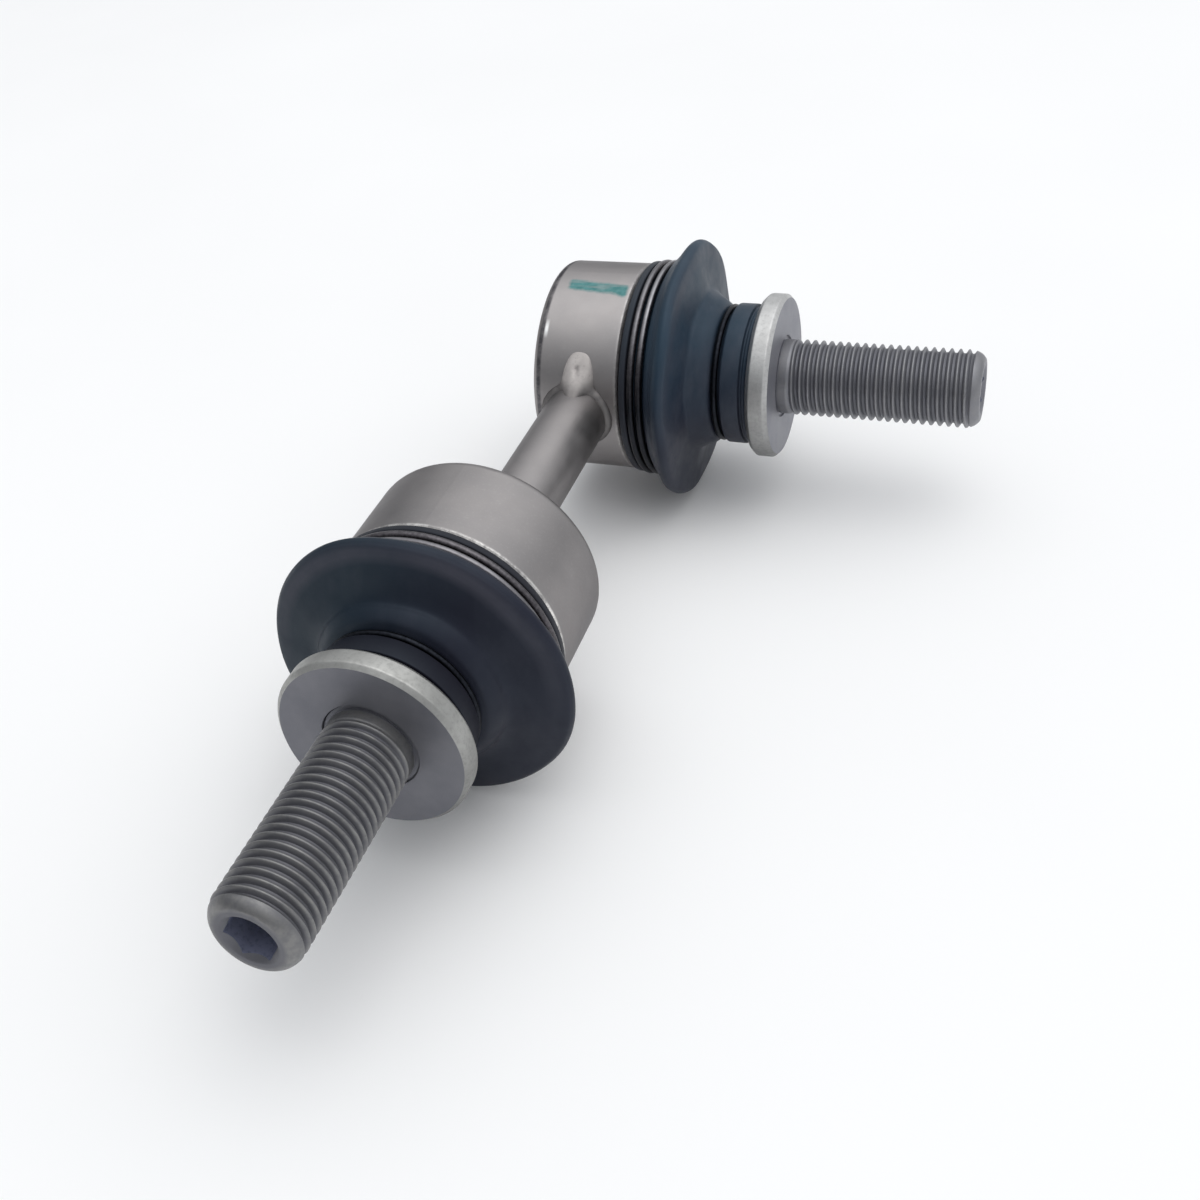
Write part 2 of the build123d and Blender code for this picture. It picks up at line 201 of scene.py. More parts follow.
class NodeGraph:
    """The node tree of a new material or world, with short calls for its nodes and links."""

    def __init__(self, owner: Union[bpy.types.Material, bpy.types.World]) -> None:
        """Start with an empty tree.

        Args:
            owner: the material or world that the tree belongs to.
        """
        owner.use_nodes = True
        self.owner = owner
        self.tree = owner.node_tree
        self.tree.nodes.clear()
        self.coordinates = self.add("ShaderNodeTexCoord").outputs
        self.place = self.coordinates["Object"]

    def add(self, kind: str, settings: dict[str, object] | None = None, **inputs: Value) -> bpy.types.Node:
        """Add a node.

        Args:
            kind: the node's type name.
            settings: its own properties.
            inputs: what its sockets hold or are linked to; _ stands for a space, i0 for socket 0.

        Returns:
            The new node.
        """
        node = self.tree.nodes.new(kind)
        for key, value in (settings or {}).items():
            setattr(node, key, value)
        for key, value in inputs.items():
            target = node.inputs[int(key[1:])] if key[1:].isdigit() else node.inputs[key.replace("_", " ")]
            if isinstance(value, bpy.types.NodeSocket):
                self.tree.links.new(value, target)
            elif target.type == "RGBA":
                target.default_value = (*value, 1.0)
            else:
                target.default_value = value
        return node

    def math(self, operation: str, *values: Value) -> Socket:
        """Work out one number from one to three others."""
        inputs = {f"i{i}": v for i, v in enumerate(values)}
        return self.add("ShaderNodeMath", {"operation": operation}, **inputs).outputs[0]

    def times(self, product: Socket, *factors: Value) -> Socket:
        """Multiply the first number by all the others."""
        for factor in factors:
            product = self.math("MULTIPLY", product, factor)
        return product

    def away(self, value: Socket, middle: float) -> Socket:
        """How far a number lies from a middle, never negative."""
        return self.math("ABSOLUTE", self.math("SUBTRACT", value, middle))

    def vector(self, operation: str, first: Value, second: Value = (0, 0, 0)) -> Socket:
        """Work out a vector, or a number, from one or two vectors."""
        node = self.add("ShaderNodeVectorMath", {"operation": operation}, i0=first, i1=second)
        return node.outputs["Value" if operation in ("DOT_PRODUCT", "LENGTH") else "Vector"]

    def axis(self, letter: str) -> Socket:
        """How far along the axis X, Y or Z a point lies, in millimetres."""
        return self.times(self.add("ShaderNodeSeparateXYZ", Vector=self.place).outputs[letter], 1.0 / MM)

    def noise(self, scale: float, detail: float = 3.0, roughness: float = 0.6, stretch: Colour = (1, 1, 1),
              place: Socket | None = None) -> Socket:
        """Read a noise pattern that lies in the object's own space.

        Args:
            scale: features in a metre.
            detail: how many finer layers it has.
            roughness: how strong the finer layers are.
            stretch: scale along each axis.
            place: coordinates to read instead of the object's.

        Returns:
            The noise value, about 0.3 to 0.7.
        """
        spot = self.add("ShaderNodeMapping", Vector=place or self.place, Scale=stretch).outputs[0]
        return self.add("ShaderNodeTexNoise", Vector=spot, Scale=scale, Detail=detail,
                        Roughness=roughness).outputs[0]

    def spread(self, value: Socket, low: float, high: float, to_low: float, to_high: float) -> Socket:
        """Map a number from low to high onto to_low to to_high, held at both ends."""
        return self.add("ShaderNodeMapRange", {"clamp": True}, Value=value, From_Min=low, From_Max=high,
                        To_Min=to_low, To_Max=to_high).outputs[0]

    def clouds(self, noise: Socket) -> Socket:
        """Soft patches from 0 to 1 that follow noise, and lie still at its ends."""
        return self.spread(noise, 0.35, 0.65, 0, 1)

    def varied(self, noise: Socket, at_low: float, at_high: float) -> Socket:
        """A number that follows all of a noise's range from at_low to at_high."""
        return self.spread(noise, 0.3, 0.7, at_low, at_high)

    def blend(self, share: Value, first: Value, second: Value) -> Socket:
        """Mix two colours, with a share of the second."""
        return self.add("ShaderNodeMix", {"data_type": "RGBA"}, i0=share, i6=first, i7=second).outputs[2]

    def bump(self, height: Socket, strength: float, distance: float, under: Socket | None = None) -> Socket:
        """Turn a height pattern into surface relief.

        Args:
            height: the pattern.
            strength: share of the relief that shows.
            distance: how deep a height of 1 is, in metres.
            under: relief to add it to.

        Returns:
            The normal.
        """
        inputs: dict[str, Value] = {"Height": height, "Strength": strength, "Distance": distance}
        if under is not None:
            inputs["Normal"] = under
        return self.add("ShaderNodeBump", **inputs).outputs[0]


# Places

@dataclass(frozen=True)
class JointSite:
    """Where one ball joint stands.

    Args:
        name: near or far.
        centre: the ball's centre.
        along: unit vector along the stud to its tip.
    """

    name: str
    centre: tuple[float, float, float]
    along: tuple[float, float, float]

    def place(self, radius: np.ndarray, height: np.ndarray, angle: np.ndarray) -> np.ndarray:
        """Points at centre + height along + radius (cos(angle) up + sin(angle) side), side = along x up.

        Args:
            radius: distance from the stud's axis.
            height: distance along it from the ball's centre.
            angle: turn from up, in radians.

        Returns:
            The points, with three numbers in the last place.
        """
        along, up = np.array(self.along), np.array((0.0, 0.0, 1.0))
        side = np.cross(along, up)
        radius, height, angle = np.broadcast_arrays(radius, height, angle)
        return (np.array(self.centre) + height[..., None] * along
                + radius[..., None] * (np.cos(angle)[..., None] * up + np.sin(angle)[..., None] * side))

    def revolved(self, profile: np.ndarray, slot: int = 0) -> Patch:
        """Carry a profile round the axis: radius(v), height(v) at angle 2 pi u.

        Args:
            profile: rows of radius and height, in millimetres.
            slot: the patch's finish.

        Returns:
            The surface.
        """
        angle = np.arange(COLUMNS) * TURN / COLUMNS
        rows = np.asarray(profile)[:, None] * MM
        return Patch(self.place(rows[..., 0], rows[..., 1], angle[None]), slot=slot)

    def level(self, height: float) -> Vector:
        """The point on the axis at a height in millimetres."""
        return Vector(self.centre) + Vector(self.along) * height * MM

    def reach_node(self, graph: NodeGraph, way: Colour) -> Socket:
        """How far along a vector a point lies from the ball's centre in millimetres, for a material."""
        offset = graph.vector("SUBTRACT", graph.place, self.centre)
        return graph.times(graph.vector("DOT_PRODUCT", offset, way), 1.0 / MM)

    def height_node(self, graph: NodeGraph) -> Socket:
        """Height along the stud in millimetres, for a material."""
        return self.reach_node(graph, self.along)

    def radius_node(self, graph: NodeGraph) -> Socket:
        """Distance from the stud's axis in millimetres, for a material."""
        offset = graph.vector("SUBTRACT", graph.place, self.centre)
        across = graph.vector("CROSS_PRODUCT", offset, self.along)
        return graph.times(graph.vector("LENGTH", across), 1.0 / MM)


NEAR = JointSite("near", (0.0, 29 * MM, 0.0), (0.0, -1.0, 0.0))
FAR = JointSite("far", (5.4 * MM, 109 * MM, 0.0), (1.0, 0.0, 0.0))


# Finishes, with every height, radius and level in millimetres

class Grey(Enum):
    """Base colours of the bare and plated metals."""

    ZINC = (0.383, 0.362, 0.358)
    ZINC_DULL = (0.320, 0.306, 0.306)
    PHOSPHATE = (0.134, 0.136, 0.154)
    PHOSPHATE_PALE = (0.162, 0.163, 0.179)
    # Partly a painted highlight, on the crests and the tip's rim.
    PHOSPHATE_WORN_AND_LIT = (0.31, 0.305, 0.285)
    # Painted shade in the thread's roots.
    PHOSPHATE_ROOT_SHADE = (0.078, 0.078, 0.090)
    MACHINED = (0.44, 0.44, 0.425)
    # Painted light: the far flange rim is paler to stand in for its brighter light.
    MACHINED_LIT = (0.57, 0.57, 0.565)
    SOCKET = (0.19, 0.205, 0.29)
    WIRE = (0.105, 0.098, 0.106)
    # Painted highlight on the clip wires' crowns.
    WIRE_HIGHLIGHT = (0.36, 0.355, 0.375)
    # Painted shade: near-black wire, low down on the housing clips and on the neck clips.
    WIRE_SHADE = (0.020, 0.022, 0.028)
    # Painted light and shade of the weld: pale top, dark sides.
    WELD_LIT = (0.50, 0.47, 0.455)
    WELD_SHADED = (0.19, 0.18, 0.178)

    def times(self, factor: float) -> Colour:
        """The colour made paler or darker by a factor."""
        return tuple(part * factor for part in self.value)


@dataclass(frozen=True)
class Finish:
    """A procedural material.

    Args:
        name: the material's name.
    """

    name: str

    def sockets(self, g: NodeGraph) -> dict[str, Value]:
        """Draw the surface; the keys name the shader's sockets, with _ for a space."""
        raise NotImplementedError

    def build(self) -> bpy.types.Material:
        """Make the material.

        Returns:
            The material.
        """
        g = NodeGraph(bpy.data.materials.new(self.name))
        shader = g.add("ShaderNodeBsdfPrincipled", **self.sockets(g))
        g.add("ShaderNodeOutputMaterial", Surface=shader.outputs[0])
        return g.owner


@dataclass(frozen=True)
class SatinZinc(Finish):
    """Turned steel under a satin zinc plating, with turning lines round a joint's axis.

    Args:
        site: the joint whose axis the turning lines go round, or None for the rod.
        burnished_and_lit_edge: how brightly the edge at the housing's shoulder is rubbed, partly a painted
            highlight.
        paint_mark: an inspector's paint stripe on top of the housing.
        painted_under_shade: how much painted shade darkens it towards the bottom.
        tone: how pale the plating is; it differs between the parts to paint in how each is lit.
        painted_crease: height of a dark line of painted shade beside the housing's crimped back edge, or
            None.
        painted_glint_height: how far in front of that line a painted highlight lies.
        painted_glint_level: level of that painted highlight.
        shoulder: height of the housing's shoulder.
        mark_start: height where the paint stripe starts.
        mark_end: height where it ends.
        mark_half_width: half its width.
        mark_y: where its middle line crosses the height of the ball's centre.
        mark_slant: how far the line leans for each millimetre of height.
    """

    site: JointSite | None = None
    burnished_and_lit_edge: float = 0.0
    paint_mark: bool = False
    painted_under_shade: float = 0.36
    tone: float = 1.0
    painted_crease: float | None = None
    painted_glint_height: float = 0.8
    painted_glint_level: float = 14.6
    shoulder: float = 2.75
    mark_start: float = -9.9
    mark_end: float = 1.7
    mark_half_width: float = 1.3
    mark_y: float = 103.88
    mark_slant: float = 0.095

    def sockets(self, g: NodeGraph) -> dict[str, Value]:
        """Draw the clouded plating with painted shade low down, its turning lines, rubbed places with painted
        highlights, a painted shade line and paint.

        Args:
            g: the material's graph.

        Returns:
            What the shader's sockets hold.
        """
        speck = g.noise(2600, 2)
        level = g.axis("Z")
        # The tone paints in how brightly this part is lit.
        colour = g.blend(g.spread(g.noise(55), 0.35, 0.68, 0, 1), Grey.ZINC.times(self.tone),
                         Grey.ZINC_DULL.times(self.tone))
        colour = g.blend(g.spread(speck, 0.55, 0.75, 0, 0.16), colour, (0.50, 0.49, 0.47))
        # Painted shade: the plating darkens towards the bottom.
        colour = g.blend(g.spread(level, -8, 14, self.painted_under_shade, 0), colour, (0.12, 0.115, 0.12))
        rough = g.varied(g.noise(320, 4), 0.38, 0.48)
        metal: Value = 1.0
        relief = g.bump(speck, 0.35, 0.00002)
        if self.site:
            height, radius = self.site.height_node(g), self.site.radius_node(g)
            track = g.add("ShaderNodeCombineXYZ", X=g.math("ADD", height, radius)).outputs[0]
            relief = g.bump(g.noise(5.5, 3, 0.7, place=track), 0.22, 0.00003, relief)
            for share, tone, roughening in self.wear_and_painted_light(g, height, level):
                colour = g.blend(share, colour, tone)
                rough = g.math("MULTIPLY_ADD", share, roughening, rough)
            if self.paint_mark:
                share = self.paint_share(g, height, level)
                paint = g.blend(g.clouds(g.noise(900, 2, 0.5)), (0.045, 0.200, 0.200), (0.085, 0.262, 0.262))
                colour = g.blend(share, colour, paint)
                metal = g.math("SUBTRACT", 1.0, share)
                rough = g.math("MULTIPLY_ADD", share, 0.12, rough)
        return {"Base_Color": colour, "Metallic": metal, "Roughness": rough, "Normal": relief,
                "Specular_Tint": (0.55, 0.55, 0.56)}

    def wear_and_painted_light(self, g: NodeGraph, height: Socket, level: Socket) -> list[tuple[Socket, Colour, float]]:
        """Where the housing is rubbed bright, partly a painted highlight, and where a painted shade line and
        a painted highlight lie at its crimped edge.

        Args:
            g: the material's graph.
            height: height along the stud.
            level: level above the joints' axes.

        Returns:
            Each place's share, its colour and how much it roughens the surface.
        """
        places = []
        # The shoulder's bright line is rubbed metal and partly a painted highlight.
        if self.burnished_and_lit_edge:
            line = g.spread(g.away(height, self.shoulder - 0.25), 0.25, 0.62, 1, 0)
            patchy = g.spread(g.noise(620, 3, 0.7), 0.42, 0.62, 0.2, 1)
            places.append((g.times(line, patchy, self.burnished_and_lit_edge), (0.86, 0.84, 0.81), -0.16))
        # Painted shade along the crimped back edge, and a painted highlight in front of it.
        if self.painted_crease is not None:
            line = g.spread(g.away(height, self.painted_crease), 0.25, 0.62, 0.85, 0)
            patchy = g.spread(g.noise(480, 3, 0.7), 0.38, 0.58, 0.55, 1)
            places.append((g.times(line, patchy), (0.055, 0.054, 0.064), 0.0))
            spot = g.times(g.spread(g.away(height, self.painted_crease + self.painted_glint_height), 0.15, 0.45, 1, 0),
                           g.spread(g.away(level, self.painted_glint_level), 0.2, 1.3, 1, 0))
            places.append((spot, (0.96, 0.96, 0.95), -0.1))
        return places

    def paint_share(self, g: NodeGraph, height: Socket, level: Socket) -> Socket:
        """How much paint covers a point: a slanted brushed stripe with ragged edges.

        Args:
            g: the material's graph.
            height: height along the stud.
            level: level above the joints' axes.

        Returns:
            0 for bare plating to 1 for full paint.
        """
        wobble = g.math("MULTIPLY_ADD", g.noise(420), 1.3, -0.65)
        across = g.math("MULTIPLY_ADD", height, self.mark_slant, g.math("SUBTRACT", g.axis("Y"), self.mark_y))
        edge = g.math("ADD", g.math("ABSOLUTE", across), wobble)
        side = g.spread(edge, self.mark_half_width - 0.4, self.mark_half_width + 0.35, 1, 0)
        half_length = (self.mark_end - self.mark_start) / 2
        reach = g.math("ADD", g.away(height, self.mark_start + half_length), wobble)
        end = g.spread(reach, half_length - 0.4, half_length + 0.3, 1, 0)
        on_top = g.math("GREATER_THAN", level, 10)
        streak = g.spread(g.noise(300, 3, 0.7, stretch=(0.25, 2.2, 2.2)), 0.34, 0.46, 0.62, 0.97)
        return g.times(side, end, on_top, streak)


@dataclass(frozen=True)
class PhosphateSteel(Finish):
    """Matte grey phosphated steel whose raised edges are rubbed lighter, partly a painted highlight, with
    painted shade in the thread's roots.

    Args:
        site: the joint whose stud it covers.
        flange_tone_and_light: how much paler the flange is than a bare coat; it differs between the studs as
            painted light.
        shank_tone_and_light: how much paler the shank is; it differs between the studs as painted light.
        crest_wear_and_highlight: how much the thread's crests are rubbed, partly a painted highlight; it also
            sets the painted highlight on the tip.
        seat: height of the flange's front face.
        tip: height of the stud's tip.
        crest: radius about which the rubbing sets in.
        root: radius below which the thread's roots are painted darker, painted shade.
        tip_rim: radius of the tip's rim, where a painted highlight lies.
    """

    site: JointSite
    flange_tone_and_light: float
    shank_tone_and_light: float
    crest_wear_and_highlight: float
    seat: float
    tip: float
    crest: float = 6.78
    root: float = 6.35
    tip_rim: float = 5.6

    def sockets(self, g: NodeGraph) -> dict[str, Value]:
        """Draw the clouded coat, its rubbed crests with a painted highlight, the painted highlight on the tip
        and the painted shade in the roots.

        Args:
            g: the material's graph.

        Returns:
            What the shader's sockets hold.
        """
        height, radius = self.site.height_node(g), self.site.radius_node(g)
        on_shank = g.math("GREATER_THAN", height, self.seat + 0.1)
        # The crests' rubbing is partly a painted highlight.
        rubbed = g.times(g.spread(radius, self.crest - 0.30, self.crest + 0.16, 0, self.crest_wear_and_highlight), on_shank)
        # A painted highlight on the tip's rim.
        tip_highlight = g.times(g.spread(height, self.tip - 2.3, self.tip - 1.2, 0, 0.9 * self.crest_wear_and_highlight),
                          g.spread(radius, self.tip_rim - 0.7, self.tip_rim, 0, 1))
        patchy = g.spread(g.noise(700, 3, 0.65), 0.35, 0.6, 0.45, 1)
        rubbed = g.times(g.math("MAXIMUM", rubbed, tip_highlight), patchy)
        cloud = g.clouds(g.noise(120))
        # These tones paint in how brightly each stud's flange and shank are lit.
        flange, shank = (g.blend(cloud, Grey.PHOSPHATE.times(tone), Grey.PHOSPHATE_PALE.times(tone))
                         for tone in (self.flange_tone_and_light, self.shank_tone_and_light))
        colour = g.blend(rubbed, g.blend(on_shank, flange, shank), Grey.PHOSPHATE_WORN_AND_LIT.value)
        # Painted shade in the thread's roots.
        deep = g.times(g.spread(radius, self.root - 0.1, self.root + 0.3, 0.45, 0), on_shank,
                       g.math("LESS_THAN", height, self.tip - 2))
        colour = g.blend(deep, colour, Grey.PHOSPHATE_ROOT_SHADE.value)
        grain = g.noise(5200, 2)
        colour = g.blend(g.spread(grain, 0.52, 0.72, 0, 0.25), colour, (0.22, 0.22, 0.22))
        rough = g.math("MULTIPLY_ADD", rubbed, -0.26, g.varied(grain, 0.46, 0.56))
        return {"Base_Color": colour, "Metallic": 0.75, "Roughness": rough, "Specular_IOR_Level": 0.35,
                "Normal": g.bump(grain, 0.5, 0.00002)}


@dataclass(frozen=True)
class GrainySteel(Finish):
    """Bright steel with a coarse, blasted grain.

    Args:
        colour: its base colour.
        rough: its middle roughness.
        metal: 1 for bare metal, less under a film.
        pits: how much the grain's pits are darkened.
        painted_under_shade: how much painted shade darkens it towards the bottom.
    """

    colour: Grey
    rough: float
    metal: float = 1.0
    pits: float = 0.5
    painted_under_shade: float = 0.0

    def sockets(self, g: NodeGraph) -> dict[str, Value]:
        """Draw the clouded metal, its dark pits and its painted shade low down.

        Args:
            g: the material's graph.

        Returns:
            What the shader's sockets hold.
        """
        grain = g.noise(1500, 4, 0.7)
        colour = g.blend(g.clouds(g.noise(140)), self.colour.times(0.84), self.colour.times(1.1))
        colour = g.blend(g.spread(grain, 0.36, 0.50, self.pits, 0), colour, self.colour.times(0.45))
        # Painted shade: the metal darkens towards the bottom.
        if self.painted_under_shade:
            colour = g.blend(g.spread(g.axis("Z"), -9, 11, self.painted_under_shade, 0), colour, (0.12, 0.12, 0.12))
        return {"Base_Color": colour, "Metallic": self.metal,
                "Roughness": g.varied(grain, self.rough + 0.1, self.rough - 0.08),
                "Normal": g.bump(grain, 0.6, 0.00006)}


@dataclass(frozen=True)
class ClipWire(Finish):
    """Dark spring wire, darkened low down by painted shade, with a painted highlight along the crown of its
    outer turn.

    Args:
        site: the joint whose boot it holds.
        colour: its dark skin.
        inner_highlight: how strong the painted highlight is on the inner turn, 0 to 1.
        highlight_from: level above which the painted highlight starts.
        painted_shade_level: level below which painted shade darkens it.
        crown_r: radius at which the painted highlight line starts.
        outer_turn: height at which the outer turn starts.
    """

    site: JointSite
    colour: Grey
    inner_highlight: float = 0.1
    highlight_from: float = 2.0
    painted_shade_level: float = -4.0
    crown_r: float = 20.44
    outer_turn: float = 6.05

    def sockets(self, g: NodeGraph) -> dict[str, Value]:
        """Draw the dark skin, the painted shade below and the painted highlight on the crown.

        Args:
            g: the material's graph.

        Returns:
            What the shader's sockets hold.
        """
        height, radius, level = self.site.height_node(g), self.site.radius_node(g), g.axis("Z")
        grain = g.noise(1900)
        # Painted highlight along the crown, brighter higher up.
        painted_highlight = g.times(g.spread(radius, self.crown_r - 0.05, self.crown_r + 0.05, 0, 1),
                      g.spread(height, self.outer_turn - 0.1, self.outer_turn + 0.1, self.inner_highlight, 0.8),
                      g.spread(g.noise(170), 0.35, 0.6, 0.5, 1), g.spread(level, self.highlight_from, 17, 0, 1))
        colour = g.blend(g.clouds(grain), self.colour.times(0.65), self.colour.times(1.25))
        # Painted shade low down.
        colour = g.blend(g.spread(level, self.painted_shade_level - 5, self.painted_shade_level + 5, 0.9, 0), colour,
                         Grey.WIRE_SHADE.value)
        return {"Base_Color": g.blend(painted_highlight, colour, Grey.WIRE_HIGHLIGHT.value), "Metallic": 1.0,
                "Roughness": g.math("MULTIPLY_ADD", painted_highlight, -0.1, 0.40), "Normal": g.bump(grain, 0.5, 0.00003)}


@dataclass(frozen=True)
class WeldSteel(Finish):
    """Plated weld metal, pale and matte on the crown on top, painted light, and dark grey at the sides,
    painted shade.

    Args:
        painted_light_low: level where the painted light on top starts.
        painted_light_high: level where it is full.
    """

    painted_light_low: float = 5.8
    painted_light_high: float = 7.8

    def sockets(self, g: NodeGraph) -> dict[str, Value]:
        """Draw the sides in painted shade, the clouded crown in painted light and the pits.

        Args:
            g: the material's graph.

        Returns:
            What the shader's sockets hold.
        """
        grain = g.noise(1300, 4, 0.7)
        # Painted light and shade by level: pale on top, dark at the sides.
        crown = g.spread(g.axis("Z"), self.painted_light_low, self.painted_light_high, 0, 1)
        pale = g.blend(g.clouds(g.noise(260)), Grey.WELD_LIT.times(0.84), Grey.WELD_LIT.times(1.1))
        colour = g.blend(crown, Grey.WELD_SHADED.value, pale)
        colour = g.blend(g.spread(grain, 0.34, 0.46, 0.35, 0), colour, Grey.WELD_LIT.times(0.5))
        return {"Base_Color": colour, "Metallic": g.math("MULTIPLY_ADD", crown, -0.5, 1.0),
                "Roughness": g.varied(grain, 0.6, 0.48), "Normal": g.bump(grain, 0.6, 0.00003)}


@dataclass(frozen=True)
class BootRubber(Finish):
    """Black moulded rubber with a blue cast, a soft skin, pale patches in its folds that are partly dusty and
    partly a painted sheen, and a painted sheen on its crest.

    Args:
        site: the joint that it seals.
        tone: how pale its skin is; it differs between the boots as painted light.
        plum_tone: how pale it is where its cast is plum.
        gloss: strength of its sheen.
        plum_side: the way in which the skin's cast turns from teal to plum; on the far boot it points down,
            so its darker plum underside is painted shade.
        neck_shade: how much darker its neck is.
        dust_and_sheen: how strong the pale patches on the bulge are, partly dusty and partly a painted sheen.
        painted_crest_sheen: how strong the painted sheen on the bulge's crest is.
        crest_r: radius of that crest.
        bead_end: height where the foot bead ends.
        neck_start: height where the neck starts.
    """

    site: JointSite
    tone: float
    plum_tone: float
    gloss: float
    plum_side: Colour
    neck_shade: float
    dust_and_sheen: float
    painted_crest_sheen: float
    crest_r: float = 22.4
    bead_end: float = 4.9
    neck_start: float = 19.0

    def sockets(self, g: NodeGraph) -> dict[str, Value]:
        """Draw the two-toned skin, the pale patches that are partly dusty and partly painted sheen, and the
        painted sheen on the crest.

        Args:
            g: the material's graph.

        Returns:
            What the shader's sockets hold.
        """
        height = self.site.height_node(g)
        cloud = g.clouds(g.noise(70, 4))
        side = g.spread(self.site.reach_node(g, self.plum_side), -14, 4, 0, 1)
        # The tones paint in how brightly each boot is lit; the far boot's darker plum underside is painted
        # shade.
        teal = tuple(self.tone * np.array((0.0105, 0.0230, 0.0375)))
        plum = tuple(self.plum_tone * np.array((0.0170, 0.0172, 0.0305)))
        colour = g.blend(g.times(cloud, 0.3), g.blend(side, teal, plum), (0.022, 0.026, 0.036))
        # Pale patches on the bulge, partly dusty and partly a painted sheen.
        dust_and_sheen_share = g.times(g.spread(height, 11.6, 13.4, 0, self.dust_and_sheen),
                        g.spread(g.noise(85, 4, stretch=(1.6, 0.7, 0.7)), 0.44, 0.64, 0, 1))
        colour = g.blend(dust_and_sheen_share, colour, (0.074, 0.076, 0.096))
        # Painted sheen on the bulge's crest, strongest on top.
        crest = g.times(g.spread(g.away(self.site.radius_node(g), self.crest_r), 0.4, 1.9, self.painted_crest_sheen, 0),
                        g.spread(height, 11.6, 12.6, 0.4, 1), g.spread(g.axis("Z"), -4, 12, 0.2, 1),
                        g.spread(cloud, 0, 1, 0.5, 1))
        colour = g.blend(crest, colour, (0.056, 0.055, 0.072))
        colour = g.blend(g.spread(height, self.bead_end, self.bead_end + 0.4, 0.8, 0), colour,
                         (0.0210, 0.0190, 0.0225))
        colour = g.blend(g.spread(height, self.neck_start, self.neck_start + 0.9, 0, self.neck_shade), colour,
                         (0.0075, 0.0062, 0.0105))
        relief = g.bump(g.noise(230, 3, 0.5), 0.3, 0.00012, g.bump(g.noise(2200), 0.35, 0.00003))
        return {"Base_Color": colour, "Roughness": g.varied(g.noise(240, 4), 0.42, 0.56),
                "Specular_IOR_Level": self.gloss, "Normal": relief, "Specular_Tint": (0.70, 0.85, 1.0)}


@dataclass(frozen=True)
class SeatPlastic(Finish):
    """Natural moulded plastic of the ball seats."""

    def sockets(self, g: NodeGraph) -> dict[str, Value]:
        """Draw the clouded plastic.

        Args:
            g: the material's graph.

        Returns:
            What the shader's sockets hold.
        """
        cloud = g.clouds(g.noise(160))
        return {"Base_Color": g.blend(cloud, (0.80, 0.77, 0.68), (0.86, 0.84, 0.76)),
                "Roughness": g.spread(cloud, 0, 1, 0.34, 0.44),
                "Normal": g.bump(g.noise(2500, 2, 0.5), 0.3, 0.00002)}


@dataclass(frozen=True)
class PaleFloor(Finish):
    """Matte white floor."""

    def sockets(self, g: NodeGraph) -> dict[str, Value]:
        """Draw the floor's faint clouds.

        Args:
            g: the material's graph.

        Returns:
            What the shader's sockets hold.
        """
        tone = g.varied(g.noise(9, 2, 0.5), 0, 1)
        return {"Base_Color": g.blend(tone, (0.93, 0.93, 0.93), (0.95, 0.95, 0.95)), "Roughness": 0.9,
                "Specular_IOR_Level": 0.1}


# Sub-assemblies, with every size in millimetres

